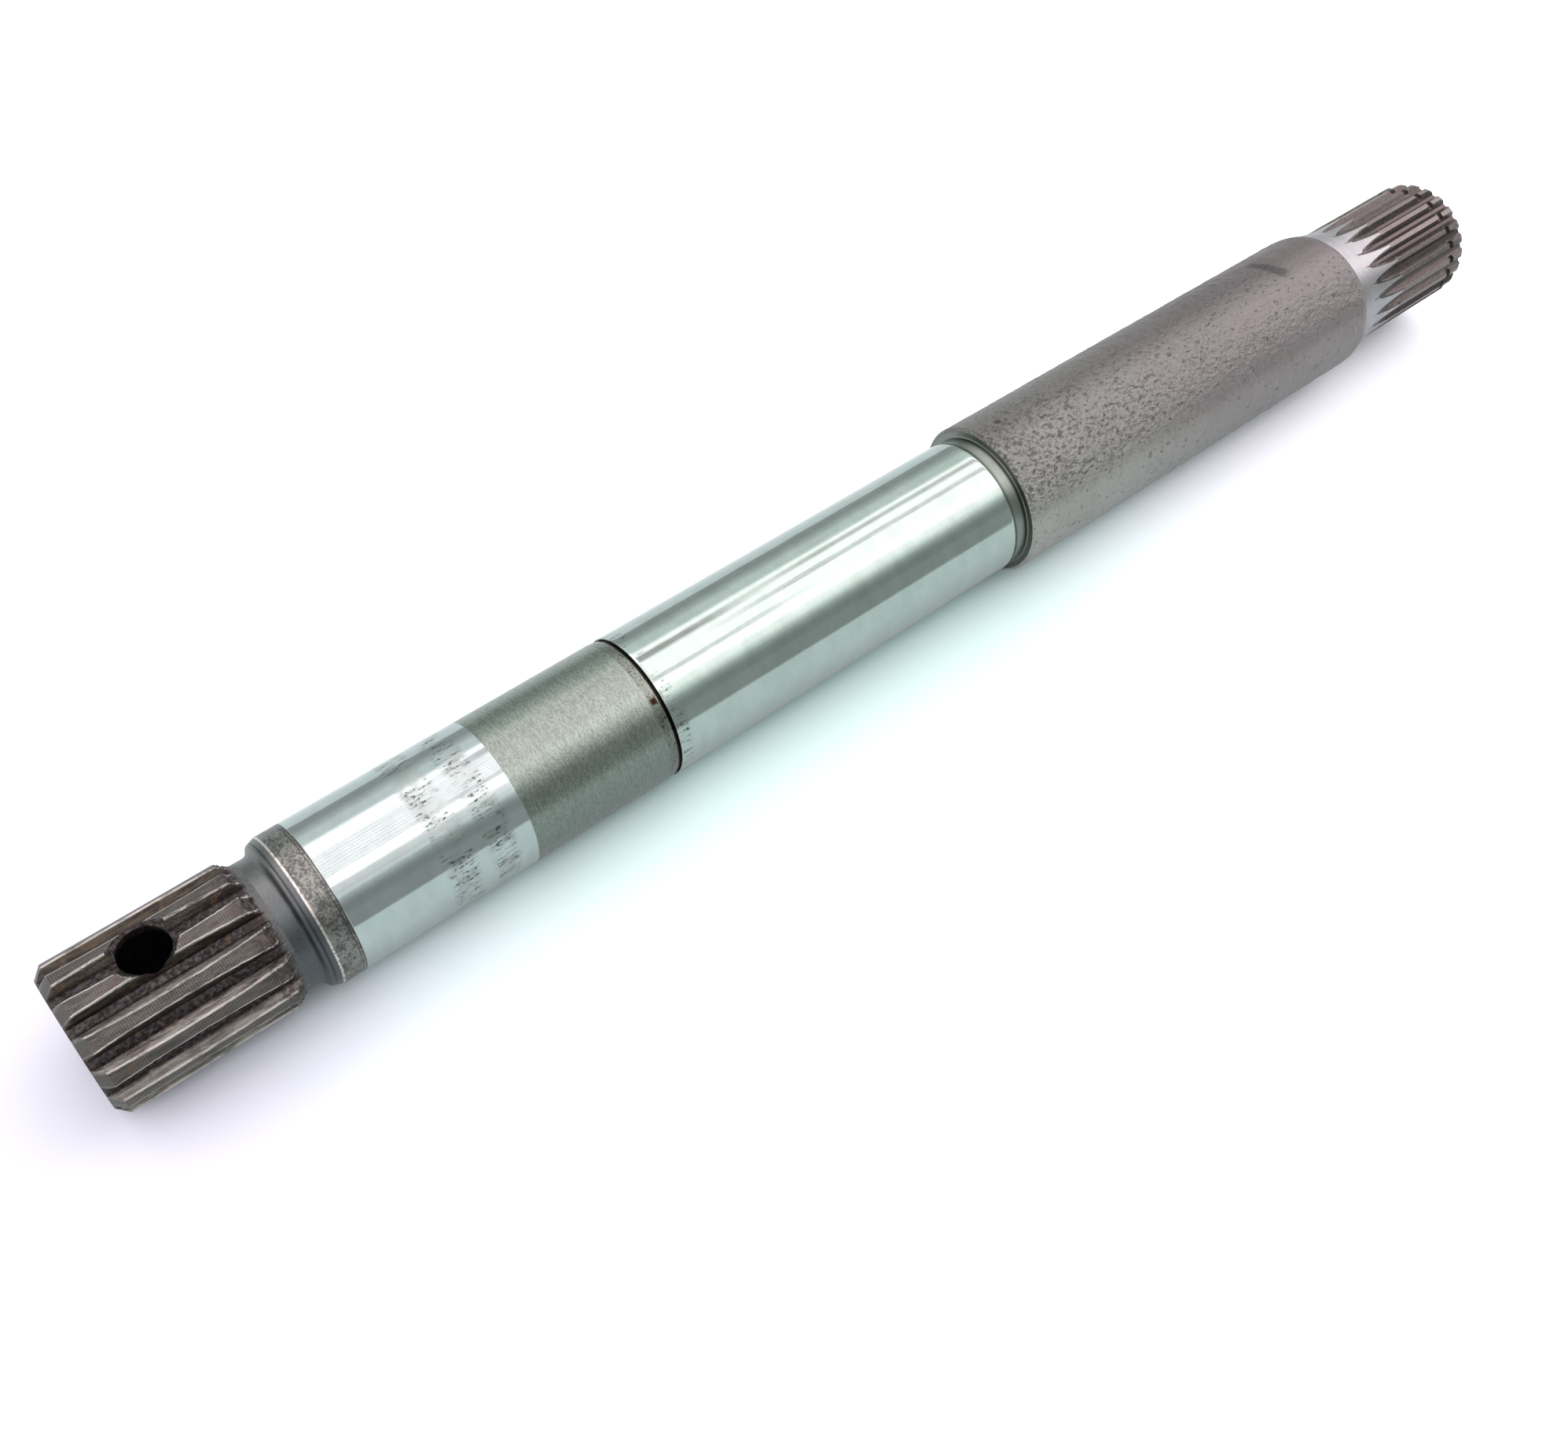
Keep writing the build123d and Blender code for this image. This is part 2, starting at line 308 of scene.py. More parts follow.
def forged_body(skin):
    """The raw body: uneven, with a dent near its right end and a shoulder that the turning tool
    left off-centre, running further right on its far upper side."""
    columns = 150
    turn = np.arange(columns) * 360 / columns
    lean = np.exp(-((((turn - 35 + 180) % 360) - 180) / 27.0) ** 2)
    start, ends = SHOULDER - 0.6 * lean, SHOULDER_FOOT + 2.4 * lean
    bend = 266.0  # from here on the rows of points lean as the shoulder does
    straight = np.concatenate([
        [FORGED, FORGED + 0.25, FORGED + 0.6, FORGED + 0.9], np.arange(FORGED + 1.5, bend, 0.7)])
    over_shares = (0.1, 0.2, 0.3, 0.4, 0.5, 0.6, 0.7, 0.8, 0.87, 0.93, 0.97, 1.0)
    rows = [np.full(columns, along) for along in straight]
    rows += [bend + share * (start - bend) for share in np.arange(0.1, 1.01, 0.1)]
    rows += [start + share * (ends - start) for share in over_shares]
    for along in rows:
        draft = BODY_RADIUS - 0.18 * (along - FORGED) / (FORGED_END - FORGED)
        rim = BODY_RADIUS - 0.55 + np.minimum(along - FORGED, 0.55)
        body = np.minimum(draft, rim)
        over = np.clip((along - start) / (ends - start), 0, 1)
        full = (1 - lean) * np.sqrt(1 - over ** 2.2) + lean * (1 - over ** 1.3)
        uneven = 0.045 * waves(along, turn, BODY_RADIUS, 7.0, 24)
        uneven = uneven + 0.03 * waves(along, turn, BODY_RADIUS, 2.4, 24)
        fade = smooth(FORGED + 0.6, FORGED + 2.5, along) * (1 - over ** 4)
        dent_along, dent_round = along - 258.9, (turn - 75.8) * 0.25
        across = DENT_COS * dent_along - DENT_SIN * dent_round
        down = DENT_SIN * dent_along + DENT_COS * dent_round
        dent = 0.28 * np.exp(-(across / 1.2) ** 2 - (down / 4.2) ** 4)
        radius = RIGHT_NECK + (body - RIGHT_NECK) * full + uneven * fade - dent
        skin.ring(along, turn, np.minimum(radius, BODY_RADIUS), ZONE_FORGED, 1 - over)
    for share in (0.08, 0.5):
        skin.ring(ends + share * (SCALLOPS - 0.1 - ends), turn, RIGHT_NECK, ZONE_FINE, np.ones(columns))


def build_skin():
    skin = Skin()
    few = np.arange(60) * 360 / 60
    cone_depth = (CENTRE_MOUTH - CENTRE_DRILL) / math.tan(math.radians(30))
    skin.ring(CENTRE_DEPTH, few, CENTRE_DRILL, ZONE_COARSE)
    skin.ring(cone_depth, few, CENTRE_DRILL, ZONE_COARSE)
    skin.ring(0.1, few, CENTRE_MOUTH - 0.06, ZONE_COARSE)
    skin.ring(0, few, CENTRE_MOUTH, ZONE_COARSE)
    skin.ring(0, few, LEFT_RIM - 1.2, ZONE_COARSE)
    coarse_spline(skin)
    round_stretch(skin, [
        (31.6, NECK), (NECK_END, NECK), (33.0, NECK + 0.02), (33.25, NECK + 0.10), (33.5, NECK + 0.26),
        (33.75, NECK + 0.55), (33.95, NECK + 0.95), (34.15, 12.30), (34.35, 12.44), (34.9, 12.62),
        (35.4, 12.80), (35.65, 12.90), (SHOULDER_TOP, 12.955), (36.0, BAND), (36.3, BAND), (39.3, BAND),
        (39.62, BAND), (JOURNAL_ONE, BAND - 0.02)], ZONE_NECK)
    round_stretch(skin, [
        (JOURNAL_ONE + 0.06, JOURNAL), (40.1, JOURNAL), (70.3, JOURNAL), (BRUSHED, JOURNAL)], ZONE_GROUND)
    round_stretch(skin, [
        (BRUSHED + 0.03, BAND), (71.2, BAND), (96.3, BAND), (96.7, BAND), (97.0, BAND - 0.02),
        (97.7, 12.90), (98.15, 12.85), (GROOVE, 12.80), (GROOVE + 0.03, 12.6),
        (JOURNAL_TWO - 0.03, 12.6)], ZONE_BRUSHED)
    round_stretch(skin, [
        (JOURNAL_TWO, 12.95), (JOURNAL_TWO + 0.12, JOURNAL), (99.6, JOURNAL), (174.5, JOURNAL),
        (174.9, JOURNAL), (UNDERCUT, 12.98), (175.35, 12.90), (175.7, 12.78), (175.9, 12.75),
        (176.4, 12.75), (177.2, 12.75),
        (FORGED - 0.15, 12.80), (FORGED - 0.03, 12.95), (FORGED, 13.1), (FORGED, 13.95)], ZONE_GROUND)
    forged_body(skin)
    fine_spline(skin)
    skin.ring(LENGTH, few, RIGHT_RIM - 1.4, ZONE_FINE)
    skin.ring(LENGTH, few, CENTRE_MOUTH, ZONE_FINE)
    skin.ring(LENGTH - 0.1, few, CENTRE_MOUTH - 0.06, ZONE_FINE)
    skin.ring(LENGTH - cone_depth, few, CENTRE_DRILL, ZONE_FINE)
    skin.ring(LENGTH - CENTRE_DEPTH, few, CENTRE_DRILL, ZONE_FINE)
    skin.cap(CENTRE_DEPTH + 0.9, ZONE_COARSE, first=True)
    skin.cap(LENGTH - CENTRE_DEPTH - 0.9, ZONE_FINE)
    return skin


def make_mesh(skin):
    mesh = bpy.data.meshes.new("splined_shaft_skin")
    mesh.from_pydata(np.concatenate(skin.points).tolist(), [], skin.faces)
    mesh.update()
    for name, values in (("spot", skin.spot), ("side", skin.side)):
        layer = mesh.attributes.new(name, "FLOAT", "POINT")
        layer.data.foreach_set("value", np.concatenate(values).astype(np.float32))
    mesh.polygons.foreach_set("material_index", np.array(skin.zones, np.int32))
    return mesh


def hole_cutter():
    """The cross hole with its two countersinks, as one turned solid along Z."""
    columns = 72
    reach = 15.0  # past the shaft on both sides
    sink = LEFT_TIP - (SINK_RADIUS - HOLE_RADIUS)
    wide = HOLE_RADIUS + (reach - sink)
    heights = [(-reach, wide), (-sink, HOLE_RADIUS), (sink, HOLE_RADIUS), (reach, wide)]
    turns = np.arange(columns) / columns * 2 * np.pi
    lean = math.radians(HOLE_LEAN)
    points, faces = [], []
    for height, radius in heights:
        for t in turns:
            x, y = HOLE_ALONG + radius * math.cos(t), radius * math.sin(t)
            leant_y = y * math.cos(lean) + height * math.sin(lean)
            leant_z = height * math.cos(lean) - y * math.sin(lean)
            points.append((LOW.x + x * MM, (AXIS_Y + leant_y) * MM, (AXIS_Z + leant_z) * MM))
    for row in range(len(heights) - 1):
        for i in range(columns):
            j = (i + 1) % columns
            a, b = row * columns, (row + 1) * columns
            faces.append((a + i, a + j, b + j, b + i))
    faces.append(tuple(range(columns))[::-1])
    faces.append(tuple((len(heights) - 1) * columns + i for i in range(columns)))
    mesh = bpy.data.meshes.new("hole_cutter")
    mesh.from_pydata(points, [], faces)
    layer = mesh.attributes.new("spot", "FLOAT", "POINT")
    layer.data.foreach_set("value", np.full(len(points), 0.45, np.float32))
    cutter = bpy.data.objects.new("hole_cutter", mesh)
    bpy.context.scene.collection.objects.link(cutter)
    return cutter


def drill(shaft):
    cutter = hole_cutter()
    cut = shaft.modifiers.new("cross_hole", "BOOLEAN")
    cut.operation, cut.solver, cut.object = "DIFFERENCE", "EXACT", cutter
    graph = bpy.context.evaluated_depsgraph_get()
    drilled = bpy.data.meshes.new_from_object(shaft.evaluated_get(graph))
    shaft.modifiers.clear()
    shaft.data = drilled
    bpy.data.objects.remove(cutter)


# --- node helpers ------------------------------------------------------------------------------
def put(tree, kind, settings=None, inputs=None):
    """A new node, its settings, and its inputs as links or constants."""
    node = tree.nodes.new(kind)
    for key, value in (settings or {}).items():
        setattr(node, key, value)
    for key, value in (inputs or {}).items():
        if isinstance(value, bpy.types.NodeSocket):
            tree.links.new(value, node.inputs[key])
        else:
            node.inputs[key].default_value = value
    return node


def calc(tree, operation, a, b=0.0):
    return put(tree, "ShaderNodeMath", {"operation": operation}, {0: a, 1: b}).outputs[0]


def times(tree, a, b):
    return calc(tree, "MULTIPLY", a, b)


def plus(tree, a, b):
    return calc(tree, "ADD", a, b)


def minus(tree, a, b):
    return calc(tree, "SUBTRACT", a, b)


def most(tree, a, b):
    return calc(tree, "MAXIMUM", a, b)


def step(tree, value, low, high):
    """0 to 1 as value goes from low to high, eased; low may be above high."""
    eased = {"interpolation_type": "SMOOTHSTEP"}
    return put(tree, "ShaderNodeMapRange", eased, {0: value, 1: low, 2: high}).outputs[0]


def within(tree, value, low, high, soft):
    """1 from low to high, eased to 0 over soft on each side."""
    rising = step(tree, value, low - soft, low + soft)
    falling = step(tree, value, high + soft, high - soft)
    return times(tree, rising, falling)


def opaque(colour):
    """A written colour gets an alpha of 1; a socket stays as it is."""
    return (*colour, 1) if isinstance(colour, tuple) else colour


def mixed(tree, amount, a, b, blend="MIX"):
    """Colour a where amount is 0, b where it is 1."""
    settings = {"data_type": "RGBA", "blend_type": blend}
    return put(tree, "ShaderNodeMix", settings, {0: amount, 6: opaque(a), 7: opaque(b)}).outputs[2]


def grey(tree, value):
    return put(tree, "ShaderNodeCombineColor", None, {0: value, 1: value, 2: value}).outputs[0]


def noise(tree, vector, scale, detail=2.0, rough=0.5):
    return put(tree, "ShaderNodeTexNoise", None, {
        "Vector": vector, "Scale": scale, "Detail": detail, "Roughness": rough}).outputs[0]


def stretched(tree, vector, x, y, z):
    return put(tree, "ShaderNodeMapping", None, {"Vector": vector, "Scale": (x, y, z)}).outputs[0]


def bumped(tree, height, depth, normal=None):
    """A relief of height (0 to 1) times depth in metres."""
    inputs = {"Height": height, "Distance": depth, "Strength": 1.0}
    if normal is not None:
        inputs["Normal"] = normal
    return put(tree, "ShaderNodeBump", None, inputs).outputs[0]


class Finish:
    """A metal material with the shaft's own coordinates at hand: place (mm, from the middle of
    the left end face), along, radius and turn (0 to 360)."""

    def __init__(self, name):
        self.material = bpy.data.materials.new(name)
        self.material.use_nodes = True
        self.tree = self.material.node_tree
        self.tree.nodes.clear()
        self.surface = put(self.tree, "ShaderNodeBsdfPrincipled", None, {"Metallic": 1.0})
        out = put(self.tree, "ShaderNodeOutputMaterial")
        self.tree.links.new(self.surface.outputs[0], out.inputs[0])
        from_axis = put(self.tree, "ShaderNodeVectorMath", {"operation": "SUBTRACT"}, {
            0: put(self.tree, "ShaderNodeTexCoord").outputs["Object"],
            1: (LOW.x, AXIS_Y * MM, AXIS_Z * MM)}).outputs[0]
        self.place = put(self.tree, "ShaderNodeVectorMath", {"operation": "SCALE"}, {
            0: from_axis, "Scale": 1 / MM}).outputs[0]
        self.along, y, z = put(self.tree, "ShaderNodeSeparateXYZ", None, {0: self.place}).outputs
        flat = put(self.tree, "ShaderNodeCombineXYZ", None, {1: y, 2: z}).outputs[0]
        length = put(self.tree, "ShaderNodeVectorMath", {"operation": "LENGTH"}, {0: flat})
        self.radius = length.outputs["Value"]
        back = calc(self.tree, "ARCTAN2", times(self.tree, z, -1.0), times(self.tree, y, -1.0))
        self.turn = plus(self.tree, times(self.tree, back, 180 / math.pi), 180.0)

    def attribute(self, name):
        return put(self.tree, "ShaderNodeAttribute", {"attribute_name": name}).outputs["Fac"]

    def set(self, **values):
        for key, value in values.items():
            socket = self.surface.inputs[key.replace("_", " ")]
            if isinstance(value, bpy.types.NodeSocket):
                self.tree.links.new(value, socket)
            else:
                socket.default_value = value


# --- finishes, one a zone ----------------------------------------------------------------------
def coarse_spline_finish():
    """Oxidised teeth: chatter-marked lands with painted highlights along their edges, brown worn flanks
    with one flank of each tooth painted lit and the other painted in shade, dark rough gap floors with
    painted shade along their foot, painted shade in the holes, and a smoother grey lead-in cone."""
    f = Finish("coarse_spline_oxidised")
    t = f.tree
    spot, side = f.attribute("spot"), f.attribute("side")
    grain = noise(t, f.place, 1.5, 5, 0.65)
    patches = noise(t, f.place, 0.32, 3, 0.55)
    streak = noise(t, stretched(t, f.place, 0.22, 1.7, 1.7), 1.0, 4, 0.6)
    floor = mixed(t, step(t, grain, 0.38, 0.70), (0.014, 0.012, 0.012), (0.092, 0.083, 0.085))
    # painted light and shade: one flank of each tooth is painted in shade (shaded) and the other painted
    # lit (worn), over their real streaky wear
    shaded = mixed(t, step(t, streak, 0.3, 0.7), (0.022, 0.019, 0.015), (0.072, 0.064, 0.050))
    worn = mixed(t, step(t, streak, 0.32, 0.66), (0.085, 0.080, 0.073), (0.26, 0.26, 0.235))
    flank = mixed(t, step(t, side, -0.2, 0.3), shaded, worn)
    chatter_pitch = 0.40
    wobbled = plus(t, f.along, times(t, grain, 0.10))
    wave = calc(t, "SINE", times(t, wobbled, 2 * math.pi / chatter_pitch))
    chatter = times(t, step(t, patches, 0.42, 0.52), step(t, wave, -0.6, 0.6))
    land = mixed(t, step(t, streak, 0.3, 0.7), (0.052, 0.050, 0.048), (0.105, 0.100, 0.092))
    land = mixed(t, times(t, chatter, 0.45), land, (0.155, 0.150, 0.135))
    colour = mixed(t, step(t, spot, 0.26, 0.36), floor, flank)
    colour = mixed(t, step(t, spot, 0.60, 0.64), colour, land)
    # painted shade: a dark line in the crease where the flanks meet the gap floors
    painted_crease_shade = times(t, within(t, spot, 0.25, 0.36, 0.04), step(t, grain, 0.85, 0.45))
    colour = mixed(t, painted_crease_shade, colour, (0.022, 0.017, 0.015))
    rust = times(t, step(t, noise(t, f.place, 0.6, 4, 0.6), 0.56, 0.70), 0.55)
    colour = mixed(t, rust, colour, (0.125, 0.075, 0.045))
    # painted highlight: bright thin lines along the lands' edges
    painted_edge_highlight = times(t, within(t, spot, 0.575, 0.67, 0.02), step(t, streak, 0.25, 0.55))
    colour = mixed(t, times(t, painted_edge_highlight, 0.8), colour, (0.54, 0.53, 0.49))
    chips = times(t, within(t, f.along, 4.0, 6.4, 0.5), within(t, f.turn, 139.5, 143.5, 1.0))
    chips = times(t, chips, step(t, grain, 0.56, 0.48))
    colour = mixed(t, chips, colour, (0.018, 0.014, 0.012))
    cone = step(t, f.along, LEAD_IN + 0.1, LEAD_IN - 0.3)
    cone = times(t, cone, plus(t, 0.2, times(t, step(t, spot, 0.5, 0.62), 0.6)))
    colour = mixed(t, cone, colour, (0.092, 0.094, 0.090))
    ragged = times(t, step(t, f.along, 25.8, 27.4), step(t, grain, 0.60, 0.42))
    colour = mixed(t, times(t, ragged, 0.7), colour, (0.045, 0.035, 0.032))
    neck = step(t, plus(t, f.along, grain), 30.1, 30.9)
    colour = mixed(t, neck, colour, (0.104, 0.112, 0.112))
    # painted shade: the walls of the centre hole and the cross hole are painted near-black
    painted_hole_shade = step(t, f.radius, LEFT_ROOT + 0.1, LEFT_ROOT - 0.5)
    off_end = step(t, f.along, 0.3, 0.8)
    colour = mixed(t, times(t, painted_hole_shade, off_end), colour, (0.006, 0.005, 0.005))
    relief = plus(t, grain, times(t, chatter, 0.12))
    rough = plus(t, 0.28, times(t, grain, 0.2))
    f.set(Base_Color=colour, Metallic=0.8, Roughness=rough, Normal=bumped(t, relief, 0.00030))
    return f.material


def neck_and_band_finish():
    """Satin blue-grey neck and shoulder, painted lighter on its upper side and with painted shade in the
    shoulder's corner, a bright rim, and the seal band, stained brown.
    """
    f = Finish("neck_satin")
    t = f.tree
    lines = noise(t, stretched(t, f.place, 7.0, 0.4, 0.4), 1.0, 3, 0.6)
    spots = noise(t, f.place, 2.3, 5, 0.7)
    cloud = noise(t, f.place, 0.5, 3, 0.6)
    neck = mixed(t, step(t, spots, 0.3, 0.7), (0.076, 0.090, 0.095), (0.098, 0.112, 0.114))
    upper = mixed(t, step(t, spots, 0.3, 0.7), (0.120, 0.132, 0.128), (0.150, 0.165, 0.157))
    # painted light: the neck is lighter on its upper side, outside turns 101 to 300
    neck = mixed(t, within(t, f.turn, 101.0, 300.0, 18.0), upper, neck)
    stain = mixed(t, step(t, plus(t, times(t, spots, 0.6), times(t, cloud, 0.4)), 0.44, 0.56),
                  (0.215, 0.230, 0.208), (0.085, 0.092, 0.088))
    colour = mixed(t, step(t, f.along, SHOULDER_TOP - 0.1, SHOULDER_TOP + 0.1), neck, stain)
    rim = within(t, f.along, SHOULDER_TOP - 0.22, SHOULDER_TOP + 0.12, 0.08)
    rim = times(t, rim, step(t, spots, 0.7, 0.45))
    colour = mixed(t, rim, colour, (0.60, 0.58, 0.54))
    scribed = within(t, f.along, 39.05, 39.2, 0.06)
    worn_edge = step(t, f.along, 39.45, 39.6)
    colour = mixed(t, times(t, most(t, scribed, worn_edge), 0.75), colour, (0.05, 0.045, 0.04))
    # painted shade in the corner of the shoulder
    corner = within(t, f.along, 34.55, 34.85, 0.12)
    colour = mixed(t, times(t, corner, 0.8), colour, (0.03, 0.03, 0.032))
    rough = plus(t, 0.32, times(t, spots, 0.12))
    f.set(Base_Color=colour, Roughness=rough, Normal=bumped(t, lines, 0.000008))
    return f.material


def ground_finish():
    """Ground journals: near-mirror steel with fine marks along and round it, two worn and stained rings
    on the first journal, and a duller undercut with painted shade in its corners; the wall rising to the
    second journal is painted in shade."""
    f = Finish("ground_steel")
    t = f.tree
    rings = noise(t, stretched(t, f.place, 6.0, 0.05, 0.05), 1.0, 4, 0.7)
    drawn = noise(t, stretched(t, f.place, 0.14, 2.6, 2.6), 1.0, 3, 0.65)
    cloud = noise(t, stretched(t, f.place, 0.35, 0.2, 0.2), 1.0, 4, 0.6)
    first = mixed(t, step(t, cloud, 0.3, 0.7), (0.375, 0.450, 0.440), (0.415, 0.495, 0.480))
    second = mixed(t, step(t, cloud, 0.3, 0.7), (0.345, 0.430, 0.395), (0.385, 0.475, 0.440))
    colour = mixed(t, step(t, f.along, 80.0, 100.0), first, second)
    dashes = step(t, noise(t, stretched(t, f.place, 0.30, 2.2, 2.2), 1.0, 2, 0.6), 0.47, 0.56)
    ticks = step(t, noise(t, f.place, 1.6, 3, 0.7), 0.50, 0.60)
    patches = step(t, noise(t, stretched(t, f.place, 0.10, 0.30, 0.30), 1.0, 3, 0.6), 0.40, 0.52)
    hatch = times(t, times(t, dashes, plus(t, 0.35, ticks)), patches)
    worn = most(t, within(t, f.along, 55.8, 60.6, 0.8), within(t, f.along, 63.2, 67.4, 0.8))
    edge = within(t, f.along, 99.2, 101.4, 0.4)
    dark = times(t, hatch, most(t, times(t, worn, 0.95), times(t, edge, 0.7)))
    colour = mixed(t, dark, colour, (0.070, 0.085, 0.080))
    dull = times(t, worn, step(t, noise(t, f.place, 0.3, 3, 0.6), 0.4, 0.65))
    colour = mixed(t, times(t, dull, 0.35), colour, (0.24, 0.26, 0.235))
    under = step(t, f.along, UNDERCUT - 0.1, UNDERCUT + 0.3)
    colour = mixed(t, under, colour, (0.200, 0.232, 0.208))
    # painted shade in both corners of the undercut
    far_corner_shade = within(t, f.along, FORGED - 0.75, FORGED - 0.1, 0.12)
    corner = most(t, far_corner_shade, within(t, f.along, UNDERCUT + 0.1, UNDERCUT + 0.35, 0.1))
    colour = mixed(t, times(t, corner, 0.75), colour, (0.055, 0.055, 0.048))
    # painted shade on the wall that rises out of the groove to the second journal
    start = step(t, f.along, JOURNAL_TWO + 0.12, JOURNAL_TWO + 0.02)
    colour = mixed(t, times(t, start, step(t, f.along, 90.0, 95.0)), colour, (0.05, 0.045, 0.04))
    rough = plus(t, plus(t, 0.06, times(t, cloud, 0.05)),
                 times(t, most(t, under, most(t, dark, dull)), 0.2))
    fine = bumped(t, rings, 0.0000012)
    f.set(Base_Color=colour, Roughness=rough, Normal=bumped(t, drawn, 0.0000052, fine))
    return f.material


def brushed_finish():
    """The stretch between the journals: satin, with broken brush lines round the shaft, painted darker on
    its lower side as shade, and a specked chamfer beside the narrow groove, which is painted near-black
    as shade."""
    f = Finish("brushed_steel")
    t = f.tree
    lines = noise(t, stretched(t, f.place, 4.5, 0.9, 0.9), 1.0, 4, 0.7)
    long_lines = noise(t, stretched(t, f.place, 3.0, 0.08, 0.08), 1.0, 3, 0.6)
    grain = noise(t, f.place, 3.2, 3, 0.6)
    both = plus(t, times(t, lines, 0.5), plus(t, times(t, long_lines, 0.15), times(t, grain, 0.35)))
    colour = mixed(t, step(t, both, 0.40, 0.60), (0.158, 0.194, 0.170), (0.258, 0.309, 0.270))
    # painted shade: darker on the lower side, turns 154 to 270
    colour = mixed(t, times(t, within(t, f.turn, 154.0, 270.0, 14.0), 0.42), colour, (0.10, 0.14, 0.125))
    chamfer = step(t, f.along, 96.4, 96.9)
    specks = step(t, noise(t, f.place, 1.8, 4, 0.7), 0.54, 0.62)
    colour = mixed(t, times(t, chamfer, plus(t, 0.25, times(t, specks, 0.6))), colour,
                   (0.06, 0.05, 0.035))
    pit = times(t, within(t, f.along, 97.0, 98.1, 0.2), within(t, f.turn, 121.0, 126.0, 1.0))
    colour = mixed(t, pit, colour, (0.028, 0.014, 0.006))
    # painted shade: the narrow groove is painted near-black
    groove = step(t, f.along, GROOVE - 0.08, GROOVE)
    colour = mixed(t, groove, colour, (0.010, 0.009, 0.008))
    rough = plus(t, 0.22, times(t, both, 0.10))
    f.set(Base_Color=colour, Roughness=rough, Normal=bumped(t, both, 0.000050))
    return f.material


def forged_finish():
    """The raw forging: grey-brown scale, densely pitted towards its left end, painted darker over its top
    and lighter towards the front and below as light and shade, and darker along the dent near its right
    end."""
    f = Finish("forged_scale")
    t = f.tree
    cloud = noise(t, f.place, 0.10, 4, 0.6)
    tint = mixed(t, step(t, f.along, 185.0, 245.0), (0.262, 0.286, 0.262), (0.192, 0.186, 0.184))
    tint = mixed(t, times(t, step(t, cloud, 0.35, 0.7), 0.25), tint, (0.160, 0.150, 0.135))
    # painted light and shade: darker over the top, lighter towards the front and lightest low at the
    # front
    shade = plus(t, 0.50, times(t, within(t, f.turn, 88.0, 270.0, 14.0), 0.41))
    shade = plus(t, shade, times(t, within(t, f.turn, 153.0, 240.0, 6.0), 0.22))
    tint = mixed(t, 1.0, tint, grey(t, shade), "MULTIPLY")
    facing = within(t, f.turn, 62.0, 150.0, 14.0)
    reach = plus(t, f.along, times(t, cloud, 70.0))
    dense = times(t, step(t, reach, 290.0, 215.0), facing)
    strength = plus(t, plus(t, 0.22, times(t, facing, 0.2)), times(t, dense, 0.65))
    lumps = noise(t, f.place, 1.15, 3, 0.62)
    swells = noise(t, stretched(t, f.place, 0.25, 0.5, 0.5), 1.0, 3, 0.55)
    pits = noise(t, stretched(t, f.place, 0.8, 1.35, 1.35), 1.0, 2, 0.5)
    pit = step(t, minus(t, pits, plus(t, 0.345, times(t, dense, 0.075))), 0.02, -0.05)
    smooth_part = times(t, within(t, f.along, 262.0, 274.0, 2.0), within(t, f.turn, 40.0, 96.0, 8.0))
    rest = minus(t, 1.0, times(t, smooth_part, 0.85))
    pit = times(t, pit, rest)
    hollows = times(t, times(t, step(t, lumps, 0.50, 0.36), plus(t, 0.15, times(t, dense, 0.5))), rest)
    colour = mixed(t, hollows, tint, (0.075, 0.070, 0.062))
    colour = mixed(t, times(t, pit, 0.6), colour, (0.045, 0.040, 0.036))
    colour = mixed(t, times(t, smooth_part, 0.35), colour, (0.12, 0.105, 0.10))
    aside = minus(t, f.along, 257.6)
    around = times(t, minus(t, f.turn, 59.7), 0.2513)
    off_line = minus(t, times(t, aside, DENT_COS), times(t, around, DENT_SIN))
    on_line = plus(t, times(t, aside, DENT_SIN), times(t, around, DENT_COS))
    # darker along the dent
    dark_in_dent = times(t, within(t, off_line, -1.3, 1.3, 0.7), within(t, on_line, 0.0, 8.3, 1.0))
    colour = mixed(t, times(t, dark_in_dent, 0.7), colour, (0.03, 0.027, 0.027))
    speck = times(t, within(t, f.along, 183.2, 184.4, 0.3), within(t, f.turn, 72.0, 76.5, 1.2))
    colour = mixed(t, speck, colour, (0.03, 0.025, 0.02))
    relief = times(t, times(t, lumps, strength), rest)
    relief = plus(t, relief, minus(t, times(t, swells, 0.5), times(t, pit, 0.12)))
    rough = plus(t, 0.34, times(t, lumps, 0.16))
    f.set(Base_Color=colour, Metallic=0.45, Roughness=rough, Normal=bumped(t, relief, 0.00095))
    return f.material


